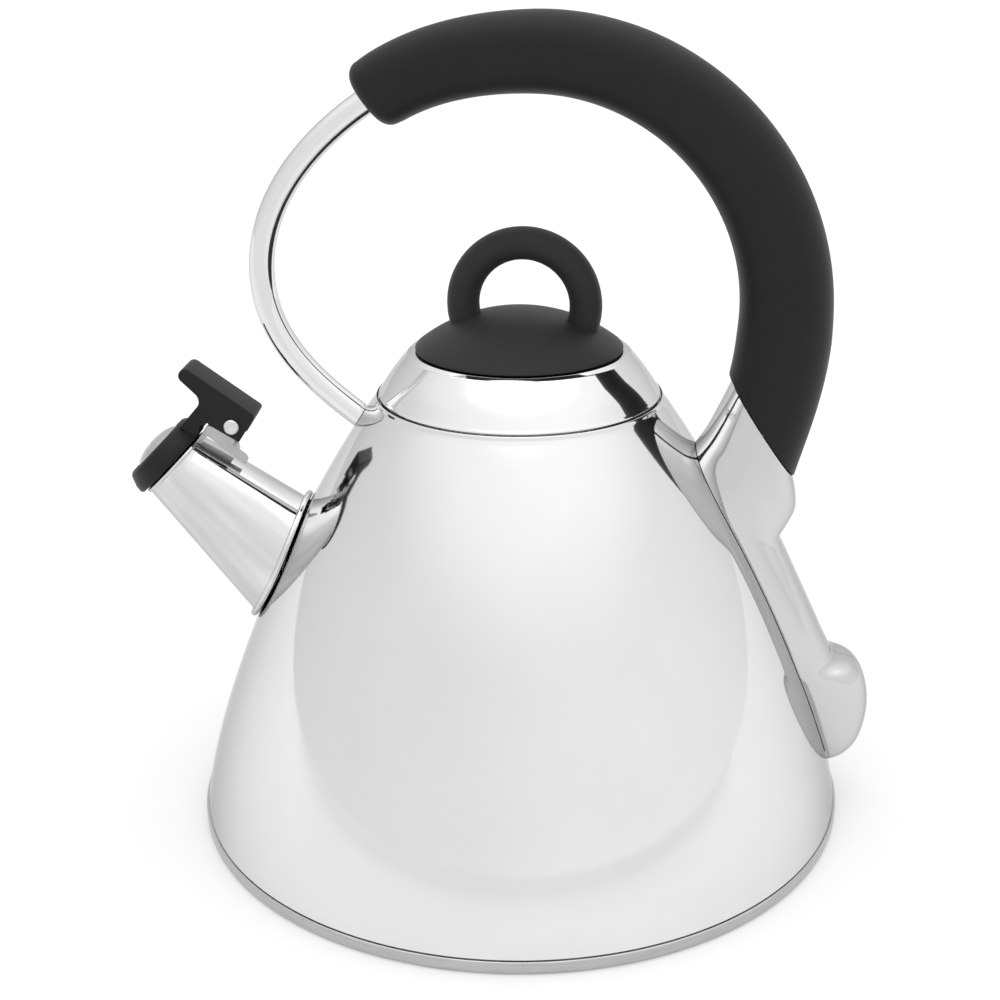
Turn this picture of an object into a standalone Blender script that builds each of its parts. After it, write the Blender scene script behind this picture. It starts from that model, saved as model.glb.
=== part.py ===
"""Stovetop whistling kettle: conical steel body, lift-off lid, sprung whistle cap on the spout,
and a fixed arched handle.  Metres, +Z up, origin at the centre of the base's underside.
The spout points along -X, the handle's rear bracket stands at +X, and Y = 0 is the plane of both."""

import math

import bmesh
import bpy
from mathutils import Matrix, Vector

MM = 0.001
GAP = 0.3 * MM  # left between pieces that touch
SHEET = 0.7 * MM  # thickness of the steel sheet

# Base, in three layers under the body
BASE_RADIUS = 105.9 * MM
BASE_RIM_TOP = 4.0 * MM
CORE_RADIUS = 100.0 * MM
CORE_BOTTOM = 1.2 * MM
CORE_TOP = 4.0 * MM
BOTTOM_PLATE_RADIUS = 103.6 * MM
BOTTOM_PLATE_Z = 4.3 * MM

# Body wall: one Bezier curve of (radius, height) from the base seam to the shoulder
BODY_CURVE = [
    (105.2 * MM, 4.4 * MM),
    (100.2 * MM, 34.0 * MM),
    (78.0 * MM, 92.0 * MM),
    (45.3 * MM, 138.2 * MM),
]
SEAT_RADIUS = 44.2 * MM
SEAT_Z = 138.8 * MM
MOUTH_RADIUS = 38.6 * MM
MOUTH_DEPTH = 5.8 * MM

# Lid
LID_RADIUS = 43.9 * MM
LID_TOP_RADIUS = 33.2 * MM
LID_TOP_Z = 153.6 * MM
SKIRT_RADIUS = 37.9 * MM
SKIRT_BOTTOM = 128.0 * MM
KNOB_RADIUS = 32.2 * MM
KNOB_TOP_Z = 165.9 * MM
KNOB_WALL = 2.6 * MM
LOOP_CENTRE = (1.6 * MM, 167.5 * MM)  # X and Z in the knob's own frame
LOOP_RADIUS = 19.0 * MM
LOOP_HALF_THICK = 5.0 * MM
LOOP_HALF_WIDE = 5.4 * MM
LOOP_DIP = math.radians(27)  # how far the loop runs on below its own centre, into the dome
KNOB_TURN = math.radians(-4.5)  # the lid stands a little turned in the mouth
KNOB_SCREW_RADIUS = 2.0 * MM

# Spout: round mouth, oval foot on the body wall
SPOUT_MOUTH = (-111.9 * MM, 113.9 * MM)  # X and Z of the mouth's centre
SPOUT_TILT = math.radians(44.5)  # elevation of the mouth's axis
SPOUT_MOUTH_RADIUS = 12.4 * MM
SPOUT_RIM_RADIUS = 12.95 * MM
SPOUT_FOOT_Z = 82.3 * MM
SPOUT_FOOT_LONG = 20.9 * MM  # half-length along the wall
SPOUT_FOOT_WIDE = 18.5 * MM  # half-width across it
FLANGE_MARGIN = 2.0 * MM
FLANGE_BEAD = 1.2 * MM
WALL_HOLE_LONG = 15.0 * MM
WALL_HOLE_WIDE = 13.0 * MM

# Whistle cap and its hinge
HINGE = (-90.9 * MM, 127.8 * MM)  # X and Z of the pin's axis
PIN_RADIUS = 1.5 * MM
PIN_HEAD_RADIUS = 2.5 * MM
PIN_HOLE_RADIUS = 1.85 * MM
LEVER_HALF_WIDTH = 5.9 * MM
LEVER_SLOT_HALF_WIDTH = 4.8 * MM
EAR_OUTER = 4.5 * MM
EAR_INNER = 3.7 * MM
EAR_RADIUS = 2.5 * MM
TONGUE_INNER = 1.9 * MM  # the strap runs on as a tongue on its near side only
CAP_RADIUS = 14.6 * MM
CAP_HEIGHT = 7.4 * MM
DISC_SEAT = 6.4 * MM  # where the front disc's rim lies, above the mouth
CAP_BORE = 9.6 * MM
SPRING_RADIUS = 2.35 * MM
SPRING_WIRE = 0.3 * MM
SPRING_TURNS = 4

# Handle: a bent steel rod, a moulded grip round its upper run, and a bracket of two pressed halves
ROD_RADIUS = 3.9 * MM
ROD_FOOT = (-49.0 * MM, 129.4 * MM)
ROD_FOOT_LEAD = (-63.0 * MM, 140.3 * MM)
ROD_SIDE = (-79.5 * MM, 176.0 * MM)  # the rod's outermost point
GRIP_FRONT = (-45.0 * MM, 228.2 * MM)
GRIP_CREST = (5.0 * MM, 242.5 * MM)
GRIP_SIDE = (81.2 * MM, 166.0 * MM)
GRIP_REAR = (75.5 * MM, 129.5 * MM)
GRIP_THICK_FRONT = 21.5 * MM
GRIP_THICK_REAR = 28.8 * MM
GRIP_ROUNDING = 4.5 * MM  # radius of the front end's edge
SOCKET_INNER = (66.0 * MM, 144.3 * MM)  # ends of the slanted joint between grip and bracket
SOCKET_OUTER = (85.8 * MM, 115.1 * MM)
BRACKET_HALF_WIDTH = 14.2 * MM
BRACKET_SHEET = 0.9 * MM

ROUND_STEPS = 48
SMALL_STEPS = 16


# ---------------------------------------------------------------- helpers


def material(name, colour, roughness, metallic):
    mat = bpy.data.materials.new(name)
    mat.use_nodes = True
    shader = mat.node_tree.nodes["Principled BSDF"]
    shader.inputs["Base Color"].default_value = (*colour, 1.0)
    shader.inputs["Roughness"].default_value = roughness
    shader.inputs["Metallic"].default_value = metallic
    return mat


def bezier(p0, p1, p2, p3, count):
    """count + 1 points of a cubic Bezier curve in a plane."""
    points = []
    for i in range(count + 1):
        t = i / count
        a, b, c, d = (1 - t) ** 3, 3 * t * (1 - t) ** 2, 3 * t * t * (1 - t), t**3
        points.append(tuple(a * p0[k] + b * p1[k] + c * p2[k] + d * p3[k] for k in range(2)))
    return points


def arc(centre, radius, start, end, count):
    """count + 1 points of an arc in a plane, between two angles in degrees."""
    points = []
    for i in range(count + 1):
        angle = math.radians(start + (end - start) * i / count)
        points.append((centre[0] + radius * math.cos(angle), centre[1] + radius * math.sin(angle)))
    return points


def offset(points, distance):
    """The same open line, moved to its left by distance."""
    moved = []
    for i, point in enumerate(points):
        before = points[max(i - 1, 0)]
        after = points[min(i + 1, len(points) - 1)]
        dx, dz = after[0] - before[0], after[1] - before[1]
        length = math.hypot(dx, dz)
        moved.append((point[0] - dz / length * distance, point[1] + dx / length * distance))
    return moved


def add_object(name, mesh, mat):
    """An object with a smooth mesh whose faces point out."""
    bm = bmesh.new()
    bm.from_mesh(mesh)
    bmesh.ops.remove_doubles(bm, verts=bm.verts, dist=1e-7)
    bmesh.ops.recalc_face_normals(bm, faces=bm.faces)
    bm.to_mesh(mesh)
    bm.free()
    mesh.shade_smooth()
    mesh.set_sharp_from_angle(angle=math.radians(35))
    obj = bpy.data.objects.new(name, mesh)
    bpy.context.collection.objects.link(obj)
    if mat:
        mesh.materials.append(mat)
    return obj


def skin(name, rings, mat, closed=False):
    """Quads between rings of equal length; the ends are capped, or joined if closed."""
    count = len(rings[0])
    verts = [point for ring in rings for point in ring]
    faces = []
    for r in range(len(rings) if closed else len(rings) - 1):
        low, high = r * count, (r + 1) % len(rings) * count
        for i in range(count):
            j = (i + 1) % count
            faces.append((low + i, low + j, high + j, high + i))
    if not closed:
        faces.append(tuple(range(count)))
        faces.append(tuple(range(len(verts) - count, len(verts))))
    mesh = bpy.data.meshes.new(name)
    mesh.from_pydata(verts, [], faces)
    return add_object(name, mesh, mat)


def turned(name, profile, mat, closed=False, steps=ROUND_STEPS, place=None):
    """A profile of (radius, height) turned about Z; place then puts it where it belongs."""
    rings = []
    for radius, height in profile:
        ring = []
        for i in range(steps):
            angle = 2 * math.pi * i / steps
            point = Vector((radius * math.cos(angle), radius * math.sin(angle), height))
            ring.append(place @ point if place else point)
        rings.append(ring)
    return skin(name, rings, mat, closed)


def plate(name, outline, y_low, y_high, mat=None):
    """An outline of (X, Z) points, extruded along Y."""
    rings = [[Vector((x, y, z)) for x, z in outline] for y in (y_low, y_high)]
    return skin(name, rings, mat)


def weld(mesh):
    """Merge points that all but coincide, as far as that leaves the surface closed."""
    for distance in (2e-5, 5e-6, 1e-6):
        bm = bmesh.new()
        bm.from_mesh(mesh)
        bmesh.ops.remove_doubles(bm, verts=bm.verts, dist=distance)
        bmesh.ops.dissolve_degenerate(bm, edges=bm.edges, dist=distance)
        closed = all(edge.is_manifold for edge in bm.edges)
        if closed:
            bm.to_mesh(mesh)
        bm.free()
        if closed:
            return


def combine(obj, other, operation, solver="EXACT"):
    """Apply a Boolean of obj with other, and remove other."""
    modifier = obj.modifiers.new(operation, "BOOLEAN")
    modifier.operation = operation
    modifier.solver = solver
    modifier.object = other
    depsgraph = bpy.context.evaluated_depsgraph_get()
    mesh = bpy.data.meshes.new_from_object(obj.evaluated_get(depsgraph))
    old = obj.data
    obj.modifiers.clear()
    obj.data = mesh
    bpy.data.meshes.remove(old)
    bpy.data.objects.remove(other)
    weld(mesh)
    mesh.shade_smooth()
    mesh.set_sharp_from_angle(angle=math.radians(35))
    return obj


def sweep_sections(path, half_thick, half_wide, count, roundness=2.0):
    """Rings across a path in the plane Y = 0.  The half sizes are functions of the share of the path."""
    rings = []
    for i, (x, z) in enumerate(path):
        before, after = path[max(i - 1, 0)], path[min(i + 1, len(path) - 1)]
        along = Vector((after[0] - before[0], 0, after[1] - before[1])).normalized()
        across = Vector((-along.z, 0, along.x))
        share = i / (len(path) - 1)
        ring = []
        for k in range(count):
            angle = 2 * math.pi * k / count
            c, s = math.cos(angle), math.sin(angle)
            flat = (abs(c) ** roundness + abs(s) ** roundness) ** (-1 / roundness)
            thick, wide = half_thick(share) * flat * c, half_wide(share) * flat * s
            ring.append(Vector((x, 0, z)) + across * thick + Vector((0, wide, 0)))
        rings.append(ring)
    return rings


def mouth_frame():
    """The spout mouth's own frame: its Z is the mouth's axis, pointing out."""
    turn = Matrix.Rotation(-(math.pi / 2 - SPOUT_TILT), 4, "Y")
    return Matrix.Translation((SPOUT_MOUTH[0], 0, SPOUT_MOUTH[1])) @ turn


def body_point(height):
    """Radius and slope of the body's outer wall at a height."""
    line = bezier(*BODY_CURVE, 200)
    for (r0, z0), (r1, z1) in zip(line, line[1:]):
        if z0 <= height <= z1:
            share = (height - z0) / (z1 - z0)
            return r0 + (r1 - r0) * share, Vector((r1 - r0, z1 - z0)).normalized()
    raise ValueError("height is off the body wall")


def oval_on_wall(long, wide, lift, steps):
    """An oval drawn on the body wall round the spout's foot, lifted off the wall by lift."""
    centre, slope = body_point(SPOUT_FOOT_Z)
    ring = []
    for i in range(steps):
        angle = 2 * math.pi * i / steps
        height = SPOUT_FOOT_Z + long * math.cos(angle) * slope.y
        radius, here = body_point(height)
        turn = math.pi - wide * math.sin(angle) / centre
        radius, height = radius + lift * here.y, height - lift * here.x
        ring.append(Vector((radius * math.cos(turn), radius * math.sin(turn), height)))
    return ring


def body_cutter(extra, name="body_cutter"):
    """The body as a solid block, larger than the wall by extra."""
    wall = offset(bezier(*BODY_CURVE, 24), -extra)
    profile = [(wall[0][0], -10 * MM)] + wall + [(wall[-1][0] - 1 * MM, wall[-1][1] + 1.5 * MM)]
    return turned(name, profile, None, steps=96)


# ---------------------------------------------------------------- base and body


def make_base(steel, satin, aluminium):
    top, r = BASE_RIM_TOP, BASE_RADIUS
    outer = [(r - 2.4 * MM, 0.0)] + arc((r - 2.4 * MM, 2.4 * MM), 2.4 * MM, -60, 0, 2)
    outer += [(r, top - 0.4 * MM), (r - 0.4 * MM, top)]
    inner = [(r - 1.2 * MM, top), (r - 1.2 * MM, 2.2 * MM), (r - 2.6 * MM, 0.8 * MM)]
    turned("base_cap", outer + inner, satin)
    half = turned("base_cap_floor", [(r - 2.0 * MM, 0.0), (r - 2.0 * MM, 0.8 * MM)], satin)
    combine(bpy.data.objects["base_cap"], half, "UNION")
    turned("heat_core", [(CORE_RADIUS, CORE_BOTTOM), (CORE_RADIUS, CORE_TOP)], aluminium)
    low, high = BOTTOM_PLATE_Z, BOTTOM_PLATE_Z + SHEET
    turned("bottom_plate", [(BOTTOM_PLATE_RADIUS, low), (BOTTOM_PLATE_RADIUS, high)], steel)


def make_body(steel):
    wall = bezier(*BODY_CURVE, 12)
    shoulder = [(45.0 * MM, 139.2 * MM), (44.6 * MM, 139.6 * MM), (SEAT_RADIUS, 139.4 * MM)]
    seat = [(SEAT_RADIUS, SEAT_Z), (MOUTH_RADIUS + 0.6 * MM, SEAT_Z), (MOUTH_RADIUS, SEAT_Z - 0.6 * MM)]
    lip = SEAT_Z - MOUTH_DEPTH
    collar = [(MOUTH_RADIUS, lip), (MOUTH_RADIUS + SHEET, lip)]
    under = [(MOUTH_RADIUS + SHEET, SEAT_Z - SHEET), (SEAT_RADIUS - 0.2 * MM, SEAT_Z - SHEET)]
    inside = list(reversed(offset(wall, SHEET)))[1:]
    body = turned("body_shell", wall + shoulder + seat + collar + under + inside, steel, closed=True)
    radius, slope = body_point(SPOUT_FOOT_Z)
    outward = Vector((-slope.y, 0, -slope.x))
    up_wall = Vector((-slope.x, 0, slope.y))
    rings = []
    for reach in (-12 * MM, 8 * MM):
        centre = Vector((-radius, 0, SPOUT_FOOT_Z)) + outward * reach
        ring = []
        for i in range(20):
            angle = 2 * math.pi * i / 20
            long = up_wall * (WALL_HOLE_LONG * math.cos(angle))
            ring.append(centre + long + Vector((0, WALL_HOLE_WIDE * math.sin(angle), 0)))
        rings.append(ring)
    combine(body, skin("wall_hole", rings, None), "DIFFERENCE")


# ---------------------------------------------------------------- spout and whistle cap


def mouth_ring(radius, height, steps):
    """A ring about the mouth's axis, at a height along it."""
    frame, ring = mouth_frame(), []
    for i in range(steps):
        angle = 2 * math.pi * i / steps
        ring.append(frame @ Vector((radius * math.cos(angle), radius * math.sin(angle), height)))
    return ring


def between(low, high, share):
    return [a.lerp(b, share) for a, b in zip(low, high)]


def make_spout(steel):
    steps = 32
    foot = oval_on_wall(SPOUT_FOOT_LONG, SPOUT_FOOT_WIDE, FLANGE_BEAD, steps)
    neck = mouth_ring(SPOUT_MOUTH_RADIUS, -1.6 * MM, steps)
    margin, bead = FLANGE_MARGIN, FLANGE_BEAD
    rings = [between(neck, foot, share / 3) for share in range(4)]
    for extra, lift in ((0.7 * margin, 1.9 * bead), (margin, 1.5 * bead), (0.9 * margin, 0.35 * bead)):
        rings.append(oval_on_wall(SPOUT_FOOT_LONG + extra, SPOUT_FOOT_WIDE + extra, lift, steps))
    hollow = oval_on_wall(SPOUT_FOOT_LONG - SHEET, SPOUT_FOOT_WIDE - SHEET, 0.35 * bead, steps)
    bore = mouth_ring(SPOUT_MOUTH_RADIUS - SHEET, -1.6 * MM, steps)
    rings += [between(hollow, bore, share / 3) for share in range(4)]
    rim = SPOUT_RIM_RADIUS
    for radius, height in ((-1.2, -0.3), (-0.7, 0.0), (-0.2, -0.1), (0.0, -0.6), (-0.2, -1.2)):
        rings.append(mouth_ring(rim + radius * MM, height * MM, steps))
    skin("spout", rings, steel, closed=True)


def spout_cutter(extra):
    """The spout's cone as a solid block, larger by extra."""
    long, wide = SPOUT_FOOT_LONG + extra, SPOUT_FOOT_WIDE + extra
    rings = [oval_on_wall(long, wide, FLANGE_BEAD, 48)]
    rings.append(mouth_ring(SPOUT_MOUTH_RADIUS + extra, -1.6 * MM, 48))
    return skin("spout_cutter", rings, None)


def ear_outline():
    """Side view of the hinge bracket: a foot at the rim, a strap over the spout, an ear at the pin."""
    foot = [(-86.4, 117.0), (-87.8, 114.7), (-98.9, 123.4), (-99.8, 119.0), (-101.2, 119.5)]
    nose = [(-101.1, 122.2), (-100.2, 124.6), (-98.5, 127.6), (-97.4, 127.0)]
    ear = arc(HINGE, EAR_RADIUS, 150, 0, 8)
    rear = [(-89.1, 125.4), (-91.2, 121.3), (-87.0, 118.0)]
    return [(x * MM, z * MM) for x, z in foot + nose] + ear + [(x * MM, z * MM) for x, z in rear]


def make_hinge_bracket(steel):
    bracket = plate("hinge_bracket", ear_outline(), -EAR_OUTER, EAR_OUTER, steel)
    roof = [(-98.6, 124.6), (-87.4, 115.8), (-80.0, 110.0)]
    slot = [(x * MM, z * MM) for x, z in roof] + [(-80.0 * MM, 135.0 * MM), (-102.0 * MM, 135.0 * MM)]
    combine(bracket, plate("ear_slot", slot, -EAR_INNER, EAR_INNER), "DIFFERENCE")
    beyond = [(-91.8, 121.4), (-90.4, 113.4), (-84.0, 112.0), (-84.0, 122.6)]
    beyond = [(x * MM, z * MM) for x, z in beyond]
    combine(bracket, plate("beside_tongue", beyond, -TONGUE_INNER, 9 * MM), "DIFFERENCE")
    combine(bracket, pin_bore("ear_bore"), "DIFFERENCE")
    combine(bracket, spout_cutter(GAP), "DIFFERENCE")


def pin_bore(name):
    circle = arc(HINGE, PIN_HOLE_RADIUS, 0, 345, SMALL_STEPS - 1)
    return plate(name, circle, -9 * MM, 9 * MM)


def make_hinge_pin(steel):
    face = LEVER_HALF_WIDTH + GAP
    profile = [(PIN_HEAD_RADIUS - 0.9 * MM, -face - 1.0 * MM), (PIN_HEAD_RADIUS - 0.2 * MM, -face - 0.8 * MM)]
    profile += [(PIN_HEAD_RADIUS, -face - 0.5 * MM), (PIN_HEAD_RADIUS, -face), (PIN_RADIUS, -face)]
    profile += [(PIN_RADIUS, face), (PIN_HEAD_RADIUS - 0.2 * MM, face)]
    profile += [(PIN_HEAD_RADIUS - 0.2 * MM, face + 0.4 * MM), (PIN_RADIUS, face + 0.7 * MM)]
    place = Matrix.Translation((HINGE[0], 0, HINGE[1])) @ Matrix.Rotation(-math.pi / 2, 4, "X")
    turned("hinge_pin", profile, steel, steps=SMALL_STEPS, place=place)


def make_cap_spring(steel):
    """A wire coil round the pin, with one leg down to the bracket and one up to the lever."""
    half_length = 2.6 * MM
    start, turn = math.radians(270), 2 * math.pi * (SPRING_TURNS - 0.5)
    route = [Vector((-6.4 * MM, -half_length, -1.9 * MM))]
    for i in range(10 * SPRING_TURNS + 1):
        share = i / (10 * SPRING_TURNS)
        angle = start + turn * share
        y = half_length * (2 * share - 1)
        route.append(Vector((SPRING_RADIUS * math.cos(angle), y, SPRING_RADIUS * math.sin(angle))))
    route.append(Vector((-6.6 * MM, half_length, 2.2 * MM)))
    curve = bpy.data.curves.new("cap_spring", "CURVE")
    curve.dimensions = "3D"
    curve.bevel_depth = SPRING_WIRE
    curve.bevel_resolution = 0
    curve.use_fill_caps = True
    spline = curve.splines.new("POLY")
    spline.points.add(len(route) - 1)
    for point, place in zip(spline.points, route):
        point.co = (*place, 1)
    spring = bpy.data.objects.new("cap_spring", curve)
    spring.location = (HINGE[0], 0, HINGE[1])
    curve.materials.append(steel)
    bpy.context.collection.objects.link(spring)


def lever_outline():
    """Side view of the lever: thumb tab, neck down to the cap ring, and the skirt over the hinge."""
    tab = [(-105.2, 146.9), (-106.4, 146.2), (-106.6, 144.9), (-105.6, 143.2), (-101.6, 138.2)]
    neck = [(-100.8, 136.6), (-100.9, 134.9), (-103.4, 131.1), (-107.6, 127.2)]
    heel = [(-103.2, 123.8), (-101.8, 125.0), (-101.2, 127.1), (-98.8, 128.9)]
    skirt = [(-96.9, 127.3), (-89.0, 122.8), (-88.3, 122.9), (-83.1, 131.2), (-83.3, 132.0)]
    return [(x * MM, z * MM) for x, z in tab + neck + heel + skirt]


def make_whistle_cap(nylon):
    """The cap ring and its lever are one moulding that turns about the hinge pin."""
    frame = mouth_frame()
    plug = [(CAP_BORE, -2.6 * MM), (10.1 * MM, -2.6 * MM), (10.6 * MM, 0.35 * MM)]
    flange = [(CAP_RADIUS - 0.4 * MM, 0.35 * MM), (CAP_RADIUS, 0.9 * MM), (CAP_RADIUS - 0.2 * MM, 2.6 * MM)]
    face = [(13.7 * MM, 4.9 * MM), (12.6 * MM, 6.6 * MM), (11.6 * MM, CAP_HEIGHT), (10.9 * MM, CAP_HEIGHT)]
    recess = [(10.9 * MM, DISC_SEAT - 0.4 * MM), (CAP_BORE, DISC_SEAT - 0.4 * MM)]
    ring = turned("whistle_cap", plug + flange + face + recess, nylon, closed=True, steps=32, place=frame)
    lever = plate("lever", lever_outline(), -LEVER_HALF_WIDTH, LEVER_HALF_WIDTH, nylon)
    slot = [(-99.6, 128.3), (-99.3, 131.2), (-96.6, 135.1), (-79.0, 124.5), (-86.0, 116.0), (-96.0, 122.0)]
    cutter = plate("slot", [(x * MM, z * MM) for x, z in slot], -LEVER_SLOT_HALF_WIDTH, LEVER_SLOT_HALF_WIDTH)
    combine(lever, cutter, "DIFFERENCE")
    combine(lever, pin_bore("lever_bore"), "DIFFERENCE")
    bore_radius = CAP_BORE + 0.6 * MM
    bore = turned("cap_bore", [(bore_radius, -4 * MM), (bore_radius, 12 * MM)], None, steps=32, place=frame)
    combine(lever, bore, "DIFFERENCE")
    combine(ring, lever, "UNION")
    set_origin(ring, HINGE)


def make_whistle_discs(steel):
    """Two pierced discs; the air chamber between them whistles."""
    frame, sheet, hole = mouth_frame(), 0.6 * MM, 1.2 * MM
    seat = DISC_SEAT
    bulge = [(hole, seat + 3.2 * MM), (4.0 * MM, seat + 2.9 * MM), (7.0 * MM, seat + 2.0 * MM)]
    bulge += [(9.0 * MM, seat + sheet)]
    rim = [(10.5 * MM, seat + sheet), (10.5 * MM, seat), (8.9 * MM, seat)]
    back = [(6.8 * MM, seat + 1.4 * MM), (4.0 * MM, seat + 2.3 * MM), (hole, seat + 2.6 * MM)]
    front = turned("whistle_front_disc", bulge + rim + back, steel, closed=True, steps=24, place=frame)
    low, edge = -2.2 * MM, CAP_BORE - GAP
    flat = [(hole, low), (edge, low), (edge, low + sheet), (hole, low + sheet)]
    rear = turned("whistle_rear_disc", flat, steel, closed=True, steps=24, place=frame)
    set_origin(front, HINGE)
    set_origin(rear, HINGE)


def set_origin(obj, place):
    """Move an object's origin to (X, Z) on the plane Y = 0, without moving its mesh."""
    shift = Vector((place[0], 0, place[1]))
    obj.data.transform(Matrix.Translation(-shift))
    obj.location = shift


# ---------------------------------------------------------------- lid


def make_lid(steel, nylon):
    top = [(KNOB_SCREW_RADIUS + 0.4 * MM, LID_TOP_Z), (LID_TOP_RADIUS, LID_TOP_Z)]
    cone = [(34.2, 153.2), (34.7, 152.6), (39.8, 146.5), (43.2, 141.2), (43.9, 140.2), (43.7, 139.5)]
    edge = [(43.0, 139.2), (42.3, 140.2), (39.0, 146.0), (33.8, 152.3), (33.0, 152.9)]
    inner_top = [(KNOB_SCREW_RADIUS + 0.4 * MM, LID_TOP_Z - SHEET)]
    profile = top + [(r * MM, z * MM) for r, z in cone + edge] + inner_top
    turned("lid_cover", profile, steel, closed=True)

    r, low = SKIRT_RADIUS, SKIRT_BOTTOM
    outside = [(r, low), (r, 142.2 * MM), (40.1 * MM, 142.9 * MM)]
    inside = [(39.9 * MM, 143.5 * MM), (r - SHEET, 142.7 * MM), (r - SHEET, low)]
    turned("lid_skirt", outside + inside, steel, closed=True, steps=48)

    make_knob(nylon)
    hole, boss = KNOB_SCREW_RADIUS + 0.35 * MM, LID_TOP_Z - SHEET
    low, high = boss - 1.3 * MM, boss - GAP
    washer = [(hole, low), (6.0 * MM, low), (6.0 * MM, high), (hole, high)]
    turned("knob_washer", washer, steel, closed=True, steps=SMALL_STEPS)
    head = boss - 1.6 * MM
    shank = KNOB_SCREW_RADIUS
    screw = [(3.0 * MM, head - 2.4 * MM), (4.2 * MM, head - 1.6 * MM), (4.3 * MM, head), (shank, head)]
    screw += [(shank, 159.6 * MM), (shank - 0.6 * MM, 160.2 * MM)]
    turned("knob_screw", screw, steel, steps=SMALL_STEPS)


def make_knob(nylon):
    """A hollow dome with a boss for the screw, and the lifting loop moulded on top."""
    seat = LID_TOP_Z + GAP
    rise = KNOB_TOP_Z - seat - 0.7 * MM
    sphere = (KNOB_RADIUS**2 + rise**2) / (2 * rise)
    spread = math.degrees(math.asin(KNOB_RADIUS / sphere))
    cap = arc((0, KNOB_TOP_Z - sphere), sphere, 90 - spread, 89.2, 7)
    lining = arc((0, KNOB_TOP_Z - sphere), sphere - KNOB_WALL, 83.5, 90 - spread + 2.5, 4)
    hole = KNOB_SCREW_RADIUS + 0.35 * MM
    profile = [(hole, 160.8 * MM), (hole, seat), (5.0 * MM, seat)] + lining
    profile += [(KNOB_RADIUS - 2.2 * MM, seat), (KNOB_RADIUS, seat)] + cap
    knob = turned("lid_knob", profile, nylon, steps=40)

    dip = math.degrees(LOOP_DIP)
    path = arc(LOOP_CENTRE, LOOP_RADIUS, -dip, 180 + dip, 18)
    rings = sweep_sections(path, lambda s: LOOP_HALF_THICK, lambda s: LOOP_HALF_WIDE, 14)
    combine(knob, skin("loop", rings, nylon), "UNION")
    knob.rotation_euler.z = KNOB_TURN


# ---------------------------------------------------------------- handle


def grip_path(per_curve):
    """Centre line of the grip, front end to rear end, as three joined Bezier curves."""
    front, crest, side, rear = GRIP_FRONT, GRIP_CREST, GRIP_SIDE, GRIP_REAR
    first = bezier(front, (-31.0 * MM, 239.0 * MM), (crest[0] - 17 * MM, crest[1]), crest, per_curve)
    reach = 41.7 * MM
    over = bezier(crest, (crest[0] + reach, crest[1]), (side[0], side[1] + reach), side, 2 * per_curve)
    last = bezier(side, (side[0], side[1] - 14 * MM), (79.0 * MM, 142.0 * MM), rear, per_curve)
    return first + over[1:] + last[1:]


def make_rod(steel):
    """One bent rod: from the body's shoulder, round the front, through the grip, into the bracket."""
    side = ROD_SIDE
    low = bezier(ROD_FOOT, ROD_FOOT_LEAD, (side[0], side[1] - 22 * MM), side, 8)
    high = bezier(side, (side[0], side[1] + 23 * MM), (-61.8 * MM, 217.4 * MM), GRIP_FRONT, 8)
    path = low + high[1:] + grip_path(6)[1:] + [(73.3 * MM, 122.5 * MM)]
    rings = sweep_sections(path, lambda s: ROD_RADIUS, lambda s: ROD_RADIUS, 12)
    rod = skin("handle_rod", rings, steel)
    combine(rod, body_cutter(GAP), "DIFFERENCE")


def make_grip(nylon):
    path = grip_path(6)
    end = len(path) - 1
    rounding = GRIP_ROUNDING

    def half(share):
        straight = GRIP_THICK_FRONT + (GRIP_THICK_REAR - GRIP_THICK_FRONT) * min(share * 1.25, 1)
        return straight / 2

    rings = sweep_sections(path, half, lambda s: 0.97 * half(s), 24, roundness=2.2)
    centre = Vector((path[0][0], 0, path[0][1]))
    along = Vector((path[1][0] - path[0][0], 0, path[1][1] - path[0][1])).normalized()
    front = []
    for angle in (90, 60, 30):
        inset = rounding * (1 - math.cos(math.radians(angle)))
        back = rounding * (1 - math.sin(math.radians(angle)))
        scale = 1 - inset / half(0)
        front.append([centre + (p - centre) * scale + along * back for p in rings[0]])
    beyond = Vector((path[end][0] - path[end - 1][0], 0, path[end][1] - path[end - 1][1])).normalized()
    rear = [[p + beyond * (18 * MM) for p in rings[-1]]]
    grip = skin("grip", front + rings[2:] + rear, nylon)

    inner = Vector((SOCKET_INNER[0], 0, SOCKET_INNER[1]))
    outer = Vector((SOCKET_OUTER[0], 0, SOCKET_OUTER[1]))
    down = (outer - inner).normalized()
    square = Vector((down.z, 0, -down.x))
    if square.z > 0:
        square = -square
    corners = []
    for point, reach in ((inner - down * 0.03, GAP), (outer + down * 0.03, GAP)):
        corners.append(point - square * reach)
    corners.append(corners[1] + square * 0.05)
    corners.append(corners[0] + square * 0.05)
    combine(grip, plate("slanted_end", [(c.x, c.z) for c in corners], -0.03, 0.03), "DIFFERENCE")

    lead_in = [(GRIP_FRONT[0] - 12 * MM, GRIP_FRONT[1] - 8.4 * MM)]
    bore_path = lead_in + grip_path(6) + [(71.0 * MM, 115.0 * MM)]
    bore = ROD_RADIUS + GAP + 0.05 * MM
    bore_rings = sweep_sections(bore_path, lambda s: bore, lambda s: bore, 12)
    combine(grip, skin("grip_bore", bore_rings, None), "DIFFERENCE")


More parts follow.
